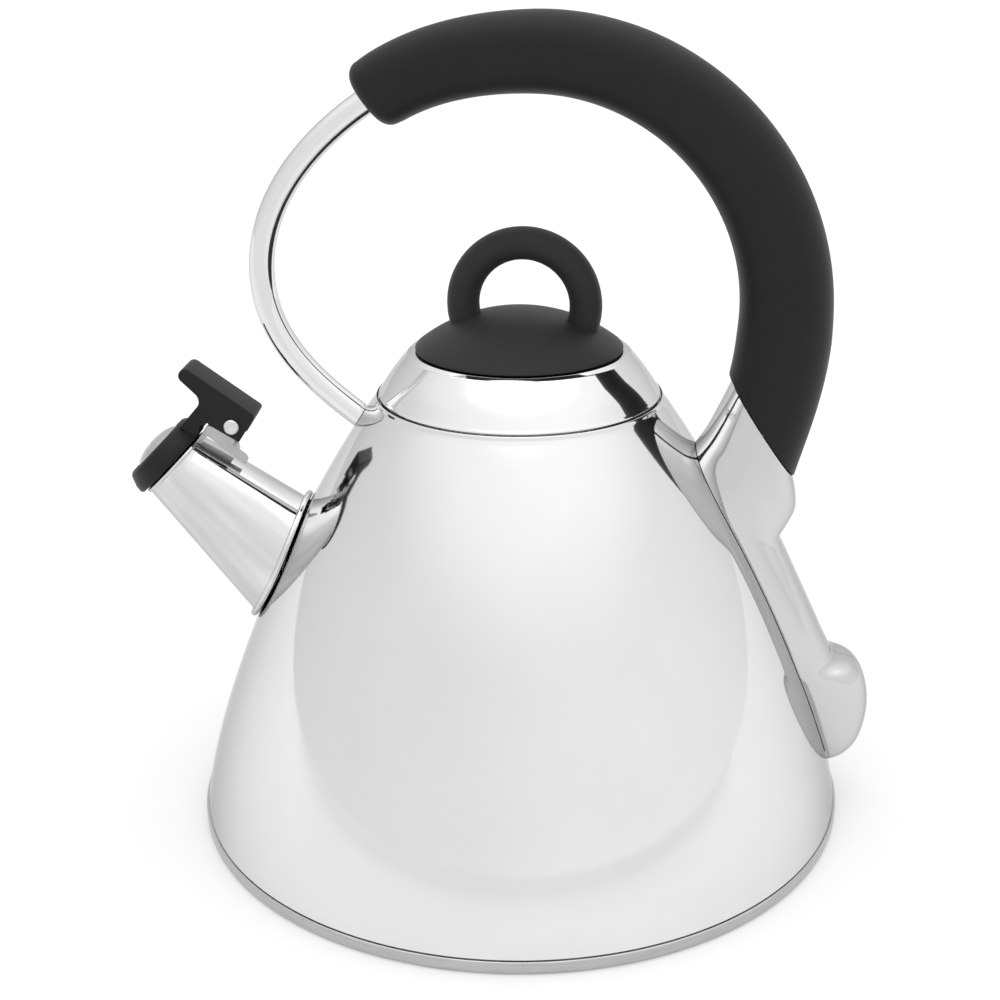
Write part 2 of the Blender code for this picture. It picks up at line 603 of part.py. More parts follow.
def bracket_stations():
    """Lines across the bracket in the plane Y = 0, from its inner to its outer edge, grip to tip.
    Each has the half-width there; below the grip's socket the inner edge runs on inside the body."""
    socket = [
        ((66.0, 144.3), (85.8, 115.1), 1.0),
        ((62.6, 136.6), (87.0, 109.5), 1.02),
        ((58.8, 128.6), (87.2, 104.0), 1.04),
        ((54.0, 119.5), (84.9, 98.6), 1.06),
    ]
    strap = [
        ((56.0, 108.0), (82.9, 94.8), 1.08),
        ((62.0, 96.0), (83.8, 91.6), 1.08),
        ((70.0, 80.0), (87.3, 84.2), 1.08),
        ((78.0, 62.5), (95.3, 67.3), 1.06),
        ((81.5, 52.5), (100.2, 57.0), 1.03),
    ]
    heel = [
        ((83.0, 47.5), (102.8, 53.0), 1.0),
        ((84.0, 44.0), (109.4, 50.6), 0.97),
        ((86.0, 38.5), (113.2, 44.4), 0.94),
        ((89.5, 30.0), (114.4, 35.0), 0.86),
        ((93.0, 22.5), (112.6, 24.6), 0.72),
        ((96.0, 16.5), (109.0, 18.6), 0.5),
        ((98.0, 13.0), (105.4, 15.8), 0.25),
    ]
    stations = []
    for inner, outer, share in socket + strap + heel:
        low = Vector((inner[0] * MM, 0, inner[1] * MM))
        high = Vector((outer[0] * MM, 0, outer[1] * MM))
        stations.append((low, high, share * BRACKET_HALF_WIDTH))
    return stations


def bracket_block(name, inset, count=20):
    """The bracket as a solid block, smaller all round by inset."""
    rings = []
    for low, high, half_width in bracket_stations():
        centre, reach = (low + high) / 2, (high - low) / 2
        reach = reach * max(1 - inset / reach.length, 0.2)
        wide = max(half_width - inset, 0.6 * MM)
        ring = []
        for k in range(count):
            angle = 2 * math.pi * k / count
            c, s = math.cos(angle), math.sin(angle)
            flat = (abs(c) ** 2.6 + abs(s) ** 2.6) ** (-1 / 2.6)
            ring.append(centre + reach * (flat * c) + Vector((0, wide * flat * s, 0)))
        rings.append(ring)
    if inset:
        up = Vector((3 * MM, 0, 6 * MM))
        rings.insert(0, [p + up for p in rings[0]])
    return skin(name, rings, None)


def make_bracket(steel):
    """Two pressed halves that meet on the plane Y = 0 and stand on the body wall."""
    for name, side in (("bracket_near_half", -1), ("bracket_far_half", 1)):
        half = bracket_block(name, 0)
        half.data.materials.append(steel)
        combine(half, bracket_block("hollow", BRACKET_SHEET), "DIFFERENCE", "MANIFOLD")
        combine(half, body_cutter(GAP), "DIFFERENCE", "MANIFOLD")
        frame = [(0, 0), (0.15, 0), (0.15, 0.2), (0, 0.2)]
        low, high = sorted((side * 0.15 * MM, side * 0.05))
        combine(half, plate("side", frame, low, high), "INTERSECT", "MANIFOLD")


def main():
    for obj in list(bpy.data.objects):
        bpy.data.objects.remove(obj)
    polished = material("polished_steel", (0.78, 0.78, 0.79), 0.06, 1.0)
    satin = material("satin_steel", (0.55, 0.55, 0.55), 0.35, 1.0)
    aluminium = material("aluminium", (0.75, 0.75, 0.76), 0.45, 1.0)
    nylon = material("black_nylon", (0.03, 0.03, 0.032), 0.55, 0.0)
    spring_steel = material("spring_steel", (0.45, 0.45, 0.46), 0.3, 1.0)
    make_base(polished, satin, aluminium)
    make_body(polished)
    make_spout(polished)
    make_hinge_bracket(polished)
    make_hinge_pin(polished)
    make_cap_spring(spring_steel)
    make_whistle_cap(nylon)
    make_whistle_discs(polished)
    make_lid(polished, nylon)
    make_rod(polished)
    make_grip(nylon)
    make_bracket(polished)


main()
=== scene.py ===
"""Looks for the stovetop whistling kettle: finely shaped pieces with their own materials.
The spout points along -X, the handle's rear bracket stands at +X, and the camera looks along +Y."""

import math

import bmesh
import bpy
from mathutils import Matrix, Vector


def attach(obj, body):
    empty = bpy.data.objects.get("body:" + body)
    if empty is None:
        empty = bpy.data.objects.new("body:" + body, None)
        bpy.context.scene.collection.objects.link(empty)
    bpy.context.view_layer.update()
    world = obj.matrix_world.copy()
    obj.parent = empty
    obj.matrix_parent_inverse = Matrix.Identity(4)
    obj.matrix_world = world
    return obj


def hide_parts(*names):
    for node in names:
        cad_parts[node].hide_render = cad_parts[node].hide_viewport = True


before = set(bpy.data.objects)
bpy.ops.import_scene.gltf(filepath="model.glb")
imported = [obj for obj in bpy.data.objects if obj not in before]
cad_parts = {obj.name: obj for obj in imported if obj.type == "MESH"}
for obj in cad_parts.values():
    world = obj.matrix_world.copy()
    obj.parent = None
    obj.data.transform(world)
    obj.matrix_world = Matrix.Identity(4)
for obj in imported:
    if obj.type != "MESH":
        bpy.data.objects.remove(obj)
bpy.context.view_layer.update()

MM = 0.001
STEPS = 192  # round steps of the large turned pieces

# Sizes and places in millimetres; a pair is (X, Z), or (radius, height) on a turned piece
SHEET = 0.7
BASE_RADIUS = 105.9
RIM_ROUNDING = 0.9
BODY_CURVE = [(105.2, 4.4), (100.2, 34.0), (78.0, 92.0), (45.3, 138.2)]  # Bezier, base to shoulder
WALL_GAP = 0.15  # between the body wall and what stands on it

FOOT_Z = 82.3  # height of the spout's centre on the body wall
MOUTH = (-111.9, 113.9)
TILT = math.radians(44.5)  # elevation of the mouth's axis
CONE_RADIUS = 12.4  # at the mouth
WALL_HOLE = (15, 13)  # half-height and half-width

HINGE = (-90.9, 127.8)
EAR_OUTER, EAR_INNER = 4.5, 3.7  # half-widths of the hinge clip
LEVER_HALF_WIDTH, SLOT_HALF_WIDTH = 5.9, 4.8
PIN_RADIUS = 1.5
PIN_HOLE_RADIUS = 1.85
CAP_BORE = 9.6

KNOB_TURN = math.radians(-4.5)
KNOB_SEAT, KNOB_TOP = 153.9, 165.9
KNOB_RADIUS = 32.2
KNOB_WALL = 2.6
LOOP_CENTRE = (1.6, 167.5)
LOOP_RADIUS = 19.0
LOOP_DIP = 27  # degrees that the loop runs on below its own centre

ROD_RADIUS = 3.9
ROD_FOOT, ROD_SIDE = (-49.0, 129.4), (-79.5, 176.0)
GRIP_FRONT, GRIP_CREST, GRIP_SIDE, GRIP_REAR = (-45.0, 228.2), (5.0, 242.5), (81.2, 166.0), (75.5, 129.5)
GRIP_THICK_FRONT, GRIP_THICK_REAR = 21.5, 28.8
GRIP_ROUNDING = 4.5
SOCKET_INNER, SOCKET_OUTER = (66.0, 144.3), (85.8, 115.1)  # the slanted joint of grip and bracket
BRACKET_SHEET = 0.9


# ---------------------------------------------------------------- curves in a plane, in millimetres


def bezier(p0, p1, p2, p3, count):
    points = []
    for i in range(count + 1):
        t = i / count
        a, b, c, d = (1 - t) ** 3, 3 * t * (1 - t) ** 2, 3 * t * t * (1 - t), t**3
        points.append(tuple(a * p0[k] + b * p1[k] + c * p2[k] + d * p3[k] for k in range(2)))
    return points


def arc(centre, radius, start, end, count):
    points = []
    for i in range(count + 1):
        angle = math.radians(start + (end - start) * i / count)
        points.append((centre[0] + radius * math.cos(angle), centre[1] + radius * math.sin(angle)))
    return points


def offset(points, distance):
    """The same open line, moved to its left."""
    moved = []
    for i, point in enumerate(points):
        before, after = points[max(i - 1, 0)], points[min(i + 1, len(points) - 1)]
        dx, dz = after[0] - before[0], after[1] - before[1]
        length = math.hypot(dx, dz)
        moved.append((point[0] - dz / length * distance, point[1] + dx / length * distance))
    return moved


def rounded(points, steps=4, closed=True):
    """A line through corners (x, z, radius), each corner rounded with a Bezier arc."""
    line, count = [], len(points)
    for i, (x, z, radius) in enumerate(points):
        if not closed and i in (0, count - 1) or radius <= 0:
            line.append((x, z))
            continue
        here = Vector((x, z))
        back = Vector(points[i - 1][:2]) - here
        ahead = Vector(points[(i + 1) % count][:2]) - here
        half = back.angle(ahead) / 2
        reach = min(radius / math.tan(half), 0.48 * back.length, 0.48 * ahead.length)
        start, end = here + back.normalized() * reach, here + ahead.normalized() * reach
        bend = 4 / 3 * math.tan((math.pi - 2 * half) / 4) * math.tan(half)
        line += bezier(start, start.lerp(here, bend), end.lerp(here, bend), end, steps)
    return line


def spline(points, per_span):
    """Catmull-Rom through vectors of any size."""
    result = []
    last = len(points) - 1
    for i in range(last):
        p0, p1, p2, p3 = points[max(i - 1, 0)], points[i], points[i + 1], points[min(i + 2, last)]
        for k in range(per_span):
            t = k / per_span
            a, b = 2 * p1, p2 - p0
            c, d = 2 * p0 - 5 * p1 + 4 * p2 - p3, 3 * p1 - p0 - 3 * p2 + p3
            result.append((a + b * t + c * t * t + d * t**3) / 2)
    result.append(points[last])
    return result


# ---------------------------------------------------------------- meshes, in metres


def add(name, mesh, mat, sharp=35):
    bm = bmesh.new()
    bm.from_mesh(mesh)
    bmesh.ops.remove_doubles(bm, verts=bm.verts, dist=1e-7)
    bmesh.ops.recalc_face_normals(bm, faces=bm.faces)
    bm.to_mesh(mesh)
    bm.free()
    mesh.shade_smooth()
    mesh.set_sharp_from_angle(angle=math.radians(sharp))
    obj = bpy.data.objects.new(name, mesh)
    bpy.context.collection.objects.link(obj)
    if mat:
        mesh.materials.append(mat)
    return obj


def skin(name, rings, mat=None, closed=False, sharp=35):
    """Quads between rings of vectors in millimetres; the ends are capped, or joined if closed."""
    count = len(rings[0])
    verts = [point * MM for ring in rings for point in ring]
    faces = []
    for r in range(len(rings) if closed else len(rings) - 1):
        low, high = r * count, (r + 1) % len(rings) * count
        for i in range(count):
            j = (i + 1) % count
            faces.append((low + i, low + j, high + j, high + i))
    if not closed:
        faces.append(tuple(range(count)))
        faces.append(tuple(range(len(verts) - count, len(verts))))
    mesh = bpy.data.meshes.new(name)
    mesh.from_pydata(verts, [], faces)
    return add(name, mesh, mat, sharp)


def turned(name, profile, mat=None, closed=False, steps=STEPS, place=None, sharp=35):
    rings = []
    for radius, height in profile:
        ring = []
        for i in range(steps):
            angle = 2 * math.pi * i / steps
            point = Vector((radius * math.cos(angle), radius * math.sin(angle), height))
            ring.append(place @ point if place else point)
        rings.append(ring)
    return skin(name, rings, mat, closed, sharp)


def plate(name, outline, low, high, mat=None):
    return skin(name, [[Vector((x, y, z)) for x, z in outline] for y in (low, high)], mat)


def combine(obj, other, operation, solver="EXACT", sharp=35):
    modifier = obj.modifiers.new(operation, "BOOLEAN")
    modifier.operation = operation
    modifier.solver = solver
    modifier.object = other
    depsgraph = bpy.context.evaluated_depsgraph_get()
    mesh = bpy.data.meshes.new_from_object(obj.evaluated_get(depsgraph))
    old = obj.data
    obj.modifiers.clear()
    obj.data = mesh
    bpy.data.meshes.remove(old)
    bpy.data.objects.remove(other)
    mesh.shade_smooth()
    mesh.set_sharp_from_angle(angle=math.radians(sharp))
    return obj


def bevel(obj, width, segments=3, angle=35):
    """Round an object's sharp edges."""
    modifier = obj.modifiers.new("edges", "BEVEL")
    modifier.width = width * MM
    modifier.segments = segments
    modifier.limit_method = "ANGLE"
    modifier.angle_limit = math.radians(angle)
    modifier.harden_normals = True
    return obj


def sweep(path, half_thick, half_wide, count, roundness=2.0):
    """Rings across a path of (x, z) in the plane Y = 0; the half sizes are functions of the share of it."""
    rings = []
    for i, (x, z) in enumerate(path):
        before, after = path[max(i - 1, 0)], path[min(i + 1, len(path) - 1)]
        along = Vector((after[0] - before[0], 0, after[1] - before[1])).normalized()
        across = Vector((-along.z, 0, along.x))
        share = i / (len(path) - 1)
        ring = []
        for k in range(count):
            angle = 2 * math.pi * k / count
            c, s = math.cos(angle), math.sin(angle)
            flat = (abs(c) ** roundness + abs(s) ** roundness) ** (-1 / roundness)
            thick, wide = half_thick(share) * flat * c, half_wide(share) * flat * s
            ring.append(Vector((x, 0, z)) + across * thick + Vector((0, wide, 0)))
        rings.append(ring)
    return rings


def between(low, high, share):
    return [a.lerp(b, share) for a, b in zip(low, high)]


# ---------------------------------------------------------------- materials


EDGE_TINT = (0.64,) * 3  # polished steel reflects this much at a grazing angle


def nodes_of(name):
    """A new material, its node tree and its shader."""
    mat = bpy.data.materials.new(name)
    mat.use_nodes = True
    tree = mat.node_tree
    return mat, tree, tree.nodes["Principled BSDF"]


def noise(tree, scale, detail=3.0, stretch=(1, 1, 1), rough=0.5, lean=None):
    """Noise in the object's own space.  With a lean, stretch lengthens it along axes turned about Y."""
    coords = tree.nodes.new("ShaderNodeTexCoord")
    mapping = tree.nodes.new("ShaderNodeMapping")
    mapping.inputs["Scale"].default_value = stretch
    if lean is not None:
        mapping.vector_type = "TEXTURE"
        mapping.inputs["Rotation"].default_value = (0, lean, 0)
    texture = tree.nodes.new("ShaderNodeTexNoise")
    texture.inputs["Scale"].default_value = scale
    texture.inputs["Detail"].default_value = detail
    texture.inputs["Roughness"].default_value = rough
    tree.links.new(coords.outputs["Object"], mapping.inputs["Vector"])
    tree.links.new(mapping.outputs["Vector"], texture.inputs["Vector"])
    return texture.outputs["Fac"]


def spread(tree, value, low, high, start=0.3, end=0.7):
    """Map a texture's middle range onto low to high."""
    node = tree.nodes.new("ShaderNodeMapRange")
    node.inputs["From Min"].default_value = start
    node.inputs["From Max"].default_value = end
    node.inputs["To Min"].default_value = low
    node.inputs["To Max"].default_value = high
    tree.links.new(value, node.inputs["Value"])
    return node.outputs["Result"]


def tint(tree, value, dark, light):
    """Map a texture's middle range onto two colours."""
    ramp = tree.nodes.new("ShaderNodeValToRGB")
    ramp.color_ramp.elements[0].color = (*dark, 1)
    ramp.color_ramp.elements[1].color = (*light, 1)
    ramp.color_ramp.elements[0].position = 0.3
    ramp.color_ramp.elements[1].position = 0.7
    tree.links.new(value, ramp.inputs["Fac"])
    return ramp.outputs["Color"]


def add_bump(tree, shader, value, strength, distance):
    bump = tree.nodes.new("ShaderNodeBump")
    bump.inputs["Strength"].default_value = strength
    bump.inputs["Distance"].default_value = distance
    tree.links.new(value, bump.inputs["Height"])
    tree.links.new(bump.outputs["Normal"], shader.inputs["Normal"])


def polished_steel(name, low=0.02, high=0.09, tone=0.78, wave=0.05, painted_reflection_streaks=None):
    """Mirror-polished stainless sheet: faint smudges, and a slight waviness left by pressing.
    Streaks are painted reflection lines, given as (dark tone, lean of the axis that they run along); they
    take the smudges' place."""
    mat, tree, shader = nodes_of(name)
    shader.inputs["Metallic"].default_value = 1.0
    shader.inputs["Specular Tint"].default_value = (*EDGE_TINT, 1)
    if painted_reflection_streaks:
        dark, lean = painted_reflection_streaks
        # painted reflection: long dark streaks stand in for reflected lines
        smudges_and_painted_reflections = noise(tree, 130, 2, (1, 1, 25), lean=lean)
    else:
        dark = tone - 0.03
        smudges_and_painted_reflections = noise(tree, 28, 5, rough=0.6)
    tree.links.new(tint(tree, smudges_and_painted_reflections, (dark,) * 3, (tone,) * 3), shader.inputs["Base Color"])
    tree.links.new(spread(tree, noise(tree, 16, 6, rough=0.65), low, high), shader.inputs["Roughness"])
    add_bump(tree, shader, noise(tree, 14, 1.5), wave, 0.004)
    return mat


def satin_steel(name, tone=0.56, rough=0.34, stretch=(1, 1, 40), scale=60):
    """Stainless sheet with fine brushed lines."""
    mat, tree, shader = nodes_of(name)
    shader.inputs["Metallic"].default_value = 1.0
    lines = noise(tree, scale, 4, stretch, 0.7)
    tree.links.new(tint(tree, lines, (tone * 0.86,) * 3, (tone * 1.08,) * 3), shader.inputs["Base Color"])
    tree.links.new(spread(tree, lines, rough - 0.07, rough + 0.09), shader.inputs["Roughness"])
    add_bump(tree, shader, lines, 0.12, 0.0004)
    return mat


def soft_nylon(name, dark=(0.006, 0.006, 0.0063), light=(0.009, 0.009, 0.0094), rough=0.5):
    """Black nylon with a fine eroded grain and a soft sheen."""
    mat, tree, shader = nodes_of(name)
    patches = noise(tree, 45, 4, rough=0.6)
    tree.links.new(tint(tree, patches, dark, light), shader.inputs["Base Color"])
    grain = noise(tree, 2600, 2, rough=0.7)
    tree.links.new(spread(tree, patches, rough - 0.04, rough + 0.07), shader.inputs["Roughness"])
    shader.inputs["Specular IOR Level"].default_value = 0.24
    shader.inputs["Sheen Weight"].default_value = 0.03
    shader.inputs["Sheen Roughness"].default_value = 0.45
    add_bump(tree, shader, grain, 0.35, 0.00012)
    return mat


def dull_metal(name, colour, rough):
    """Unpolished metal with a faint mottle."""
    mat, tree, shader = nodes_of(name)
    shader.inputs["Metallic"].default_value = 1.0
    mottle = noise(tree, 120, 5, rough=0.7)
    dark = tuple(c * 0.85 for c in colour)
    tree.links.new(tint(tree, mottle, dark, colour), shader.inputs["Base Color"])
    tree.links.new(spread(tree, mottle, rough - 0.08, rough + 0.08), shader.inputs["Roughness"])
    add_bump(tree, shader, mottle, 0.1, 0.0004)
    return mat


STEEL = polished_steel("mirror_steel")
LID_STEEL = polished_steel("lid_mirror_steel", 0.02, 0.07, 0.79, 0.03)
# painted shade: the bracket's mirror steel has a darker tone than the body's
SHADED_BRACKET_STEEL = polished_steel("bracket_painted_shade_steel", 0.05, 0.12, 0.63, 0.06)
# the spout's dark streaks along its axis are painted reflection lines
SPOUT_STEEL = polished_steel("spout_mirror_steel", 0.03, 0.09, 0.74, 0.09, (0.56, TILT - math.pi / 2))
ROD_STEEL = polished_steel("rod_mirror_steel", 0.04, 0.1, 0.78, 0.02)
RIM_STEEL = satin_steel("base_rim_steel", 0.5, 0.3)
CLIP_STEEL = satin_steel("clip_steel", 0.48, 0.4, (1, 12, 1), 220)
PIN_STEEL = satin_steel("pin_steel", 0.72, 0.36, (1, 1, 1), 500)
NYLON = soft_nylon("grip_nylon")
KNOB_NYLON = soft_nylon("knob_nylon", (0.014, 0.014, 0.0145), (0.019, 0.019, 0.0196), 0.55)
CAP_NYLON = soft_nylon("cap_nylon", (0.006, 0.006, 0.0063), (0.011, 0.011, 0.0114), 0.5)
ALUMINIUM = dull_metal("core_aluminium", (0.7, 0.7, 0.72), 0.45)
INSIDE_STEEL = dull_metal("inside_steel", (0.6, 0.6, 0.61), 0.32)
SPRING_STEEL = dull_metal("spring_wire", (0.45, 0.45, 0.47), 0.3)


# ---------------------------------------------------------------- body and base


def body_point(height):
    """Radius and unit slope (radius, height) of the body's outer wall at a height."""
    low, high = 0.0, 1.0
    (r0, z0), (r1, z1), (r2, z2), (r3, z3) = BODY_CURVE
    for _ in range(40):
        t = (low + high) / 2
        z = (1 - t) ** 3 * z0 + 3 * t * (1 - t) ** 2 * z1 + 3 * t * t * (1 - t) * z2 + t**3 * z3
        low, high = (t, high) if z < height else (low, t)
    r = (1 - t) ** 3 * r0 + 3 * t * (1 - t) ** 2 * r1 + 3 * t * t * (1 - t) * r2 + t**3 * r3
    dr = (1 - t) ** 2 * (r1 - r0) + 2 * t * (1 - t) * (r2 - r1) + t * t * (r3 - r2)
    dz = (1 - t) ** 2 * (z1 - z0) + 2 * t * (1 - t) * (z2 - z1) + t * t * (z3 - z2)
    return r, Vector((dr, dz)).normalized()


def body_cutter(extra):
    """The body as a solid block, larger than the wall by extra."""
    wall = offset(bezier(*BODY_CURVE, 90), -extra)
    profile = [(wall[0][0], -10)] + wall + [(wall[-1][0] - 1, wall[-1][1] + 1.5)]
    return turned("body_cutter", profile)


def oval_on_wall(long, wide, lift, steps):
    """An oval on the body wall round the spout's foot, lifted off the wall."""
    centre, slope = body_point(FOOT_Z)
    ring = []
    for i in range(steps):
        angle = 2 * math.pi * i / steps
        height = FOOT_Z + long * math.cos(angle) * slope.y
        radius, here = body_point(height)
        turn = math.pi - wide * math.sin(angle) / centre
        radius, height = radius + lift * here.y, height - lift * here.x
        ring.append(Vector((radius * math.cos(turn), radius * math.sin(turn), height)))
    return ring


def make_body():
    """The drawn wall, its shoulder and the lid's seat, with a hole behind the spout."""
    wall = bezier(*BODY_CURVE, 110)
    shoulder = bezier(wall[-1], (44.95, 138.75), (44.95, 139.6), (44.5, 139.55), 6)[1:]
    seat = rounded([(44.5, 139.55, 0), (44.2, 138.8, 0.3), (38.6, 138.8, 1.2), (38.6, 133.0, 0.2),
                    (39.3, 133.0, 0.2), (39.3, 138.1, 0.6), (44.0, 138.1, 0.3)], 4, closed=False)[1:]
    inside = list(reversed(offset(wall, SHEET)))[2:]
    foot = [(104.55, 4.42), (104.85, 4.32)]
    body = turned("body", wall + shoulder + seat + inside + foot, STEEL, closed=True)
    radius, slope = body_point(FOOT_Z)
    outward, up_wall = Vector((-slope.y, 0, -slope.x)), Vector((-slope.x, 0, slope.y))
    rings = []
    for reach in (-12, 8):
        centre = Vector((-radius, 0, FOOT_Z)) + outward * reach
        ring = []
        for i in range(64):
            angle = 2 * math.pi * i / 64
            up, across = WALL_HOLE[0] * math.cos(angle), WALL_HOLE[1] * math.sin(angle)
            ring.append(centre + up_wall * up + Vector((0, across, 0)))
        rings.append(ring)
    combine(body, skin("wall_hole", rings), "DIFFERENCE")
    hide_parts("body_shell")
    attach(body, "kettle")


def make_base():
    """A shallow pan whose rim shows under the body's edge."""
    r, low = BASE_RADIUS, RIM_ROUNDING
    profile = [(0.02, 0.0), (60, 0.0), (90, 0.0), (r - 1.2, 0.0)]
    profile += arc((r - low, low), low, -86, 0, 10) + [(r, 3.3)] + arc((r - 0.5, 3.5), 0.5, 0, 90, 5)
    profile += [(r - 1.1, 4.0), (r - 1.2, 3.7), (r - 1.2, 2.2), (r - 2.6, 0.8), (60, 0.8), (0.02, 0.8)]
    base = turned("base_rim", profile, RIM_STEEL)
    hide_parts("base_cap")
    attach(base, "kettle")


# ---------------------------------------------------------------- spout and whistle cap


def mouth_frame():
    """The spout mouth's own frame: its Z is the mouth's axis, pointing out."""
    turn = Matrix.Rotation(-(math.pi / 2 - TILT), 4, "Y")
    return Matrix.Translation((MOUTH[0], 0, MOUTH[1])) @ turn


def mouth_ring(radius, height, steps):
    place, ring = mouth_frame(), []
    for i in range(steps):
        angle = 2 * math.pi * i / steps
        ring.append(place @ Vector((radius * math.cos(angle), radius * math.sin(angle), height)))
    return ring


def make_spout():
    """A cone from an oval, beaded foot on the wall to the round rolled mouth."""
    steps = 128
    foot = oval_on_wall(20.4, 18.0, 2.6, steps)
    neck = mouth_ring(CONE_RADIUS, -1.9, steps)
    rings = [between(neck, foot, share / 24) for share in range(25)]
    bead = [(20.5, 18.1, 1.9), (20.65, 18.25, 1.2), (20.9, 18.5, 1.0), (21.05, 18.65, 1.3), (21.2, 18.8, 1.9)]
    bead += [(21.55, 19.15, 2.35), (22.0, 19.6, 2.5), (22.45, 20.05, 2.35), (22.8, 20.4, 1.95)]
    bead += [(22.95, 20.55, 1.45), (22.8, 20.4, 0.95), (22.4, 20.0, 0.55), (21.7, 19.3, 0.42)]
    rings += [oval_on_wall(long, wide, lift, steps) for long, wide, lift in bead]
    hollow = oval_on_wall(20.2, 17.8, 0.42, steps)
    bore = mouth_ring(CONE_RADIUS - SHEET, -1.6, steps)
    rings += [between(hollow, bore, share / 12) for share in range(13)]
    lip = [(11.75, -0.6), (11.85, -0.25), (12.1, -0.04), (12.45, 0.0), (12.75, -0.15), (12.93, -0.5)]
    lip += [(12.93, -0.85), (12.78, -1.15), (12.5, -1.4)]
    rings += [mouth_ring(radius, height, steps) for radius, height in lip]
    spout = skin("spout_tube", rings, SPOUT_STEEL, closed=True, sharp=50)
    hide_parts("spout")
    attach(spout, "kettle")


def make_hinge_clip():
    """The folded strap under the lever, with an ear each side of the spring and a tongue behind."""
    ear = arc(HINGE, 2.45, 150, 0, 12)
    strap = [(-89.1, 125.4), (-91.2, 121.3), (-87.1, 118.1), (-86.45, 116.9), (-87.7, 114.8), (-88.3, 115.0)]
    strap += [(-99.6, 124.2), (-100.3, 124.6), (-101.6, 122.9), (-102.3, 122.2), (-101.6, 121.1)]
    nose = [(-102.9, 122.0), (-103.0, 122.4), (-100.3, 125.9), (-99.2, 127.5), (-98.4, 127.7), (-97.6, 127.2)]
    clip = plate("hinge_clip", ear + strap + nose, -EAR_OUTER, EAR_OUTER, CLIP_STEEL)
    roof = [(-98.9, 125.4), (-87.6, 115.8), (-80, 110), (-80, 135), (-102, 135)]
    combine(clip, plate("slot", roof, -EAR_INNER, EAR_INNER), "DIFFERENCE")
    beyond = [(-91.8, 121.4), (-90.4, 113.4), (-84, 112), (-84, 122.6)]
    combine(clip, plate("beside_tongue", beyond, -1.9, 9), "DIFFERENCE")
    combine(clip, plate("bore", arc(HINGE, PIN_RADIUS + 0.2, 0, 345, 23), -9, 9), "DIFFERENCE")
    bevel(clip, 0.25, 2)
    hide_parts("hinge_bracket")
    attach(clip, "kettle")


def make_hinge_pin():
    face = LEVER_HALF_WIDTH + 0.3
    head = [(0.02, -face - 0.95), (1.2, -face - 0.95), (1.9, -face - 0.85)]
    head += [(2.3, -face - 0.62), (2.47, -face - 0.3)]
    shank = [(2.4, -face - 0.05), (PIN_RADIUS, -face + 0.02), (PIN_RADIUS, face)]
    rivet = [(2.3, face), (2.4, face + 0.2), (2.1, face + 0.5), (1.2, face + 0.68), (0.02, face + 0.7)]
    place = Matrix.Translation((HINGE[0], 0, HINGE[1])) @ Matrix.Rotation(-math.pi / 2, 4, "X")
    pin = turned("pin", head + shank + rivet, PIN_STEEL, steps=48, place=place)
    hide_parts("hinge_pin")
    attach(pin, "kettle")


def make_cap():
    """The cap ring and its thumb lever, one moulding."""
    place = mouth_frame()
    plug = [(CAP_BORE, -2.6, 0.2), (10.1, -2.6, 0.2), (10.6, 0.35, 0.3)]
    flange = [(14.1, 0.35, 0.4), (14.6, 1.2, 0.8), (14.3, 3.2, 3.0)]
    face = [(12.8, 6.7, 2.6), (11.5, 7.4, 0.5), (10.9, 7.2, 0.2), (10.9, 6.0, 0.1), (CAP_BORE, 6.0, 0.2)]
    ring = rounded(plug + flange + face, 6)
    cap = turned("cap", ring, CAP_NYLON, closed=True, steps=128, place=place)
    lever = rounded([(-105.0, 147.2, 3.4), (-107.6, 143.9, 3.2), (-101.0, 137.4, 3.0), (-100.9, 134.9, 2.4),
                     (-107.6, 127.2, 0.2), (-103.2, 123.8, 0.2), (-101.7, 125.4, 0.5), (-101.3, 127.6, 1.6),
                     (-98.9, 129.0, 1.0), (-96.9, 127.4, 0.8), (-88.9, 122.6, 0.5), (-83.1, 131.5, 1.2)], 6)
    lever = plate("lever", lever, -LEVER_HALF_WIDTH, LEVER_HALF_WIDTH, CAP_NYLON)
    bevel(lever, 1.1, 5, 40)
    slot = [(-99.6, 128.3), (-99.3, 131.2), (-96.6, 135.1), (-79.0, 124.5), (-86.0, 116.0), (-96.0, 122.0)]
    combine(lever, plate("slot", slot, -SLOT_HALF_WIDTH, SLOT_HALF_WIDTH), "DIFFERENCE")
    combine(lever, plate("bore", arc(HINGE, PIN_HOLE_RADIUS, 0, 345, 23), -9, 9), "DIFFERENCE")
    bore = turned("cap_bore", [(CAP_BORE + 0.8, -4), (CAP_BORE + 0.8, 12)], steps=128, place=place)
    combine(lever, bore, "DIFFERENCE")
    combine(cap, lever, "UNION")
    bevel(cap, 0.5, 3, 40)
    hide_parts("whistle_cap")
    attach(cap, "cap")


def make_front_disc():
    """The domed, pierced disc in the cap's face."""
    bulge = [(1.2, 9.6), (1.3, 9.58), (4.0, 9.3), (6.0, 8.78), (7.5, 8.15), (8.6, 7.4), (9.1, 7.05)]
    back = [(9.6, 7.0), (10.5, 7.0), (10.5, 6.4), (8.9, 6.4), (6.8, 7.8), (4.0, 8.7), (1.2, 9.0)]
    disc = turned("front_disc", bulge + back, RIM_STEEL, closed=True, steps=96, place=mouth_frame())
    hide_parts("whistle_front_disc")
    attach(disc, "cap")


# ---------------------------------------------------------------- lid


def make_lid_cover():
    """A flat top under the knob, a conical side and a rolled edge."""
    outside = [(2.4, 153.6, 0), (33.2, 153.6, 0.5), (34.6, 152.8, 1.2), (39.8, 146.5, 60), (43.4, 140.9, 0.9)]
    edge = [(43.9, 140.25, 0.35), (43.85, 139.6, 0.35), (43.1, 139.25, 0.3), (42.3, 140.2, 0.6)]
    inside = [(39.0, 146.0, 60), (33.8, 152.3, 0.8), (33.0, 152.9, 0.3), (2.4, 152.9, 0)]
    outer = rounded(outside + edge + inside, 8)
    cover = turned("lid_top", outer, LID_STEEL, closed=True)
    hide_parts("lid_cover")
    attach(cover, "lid")


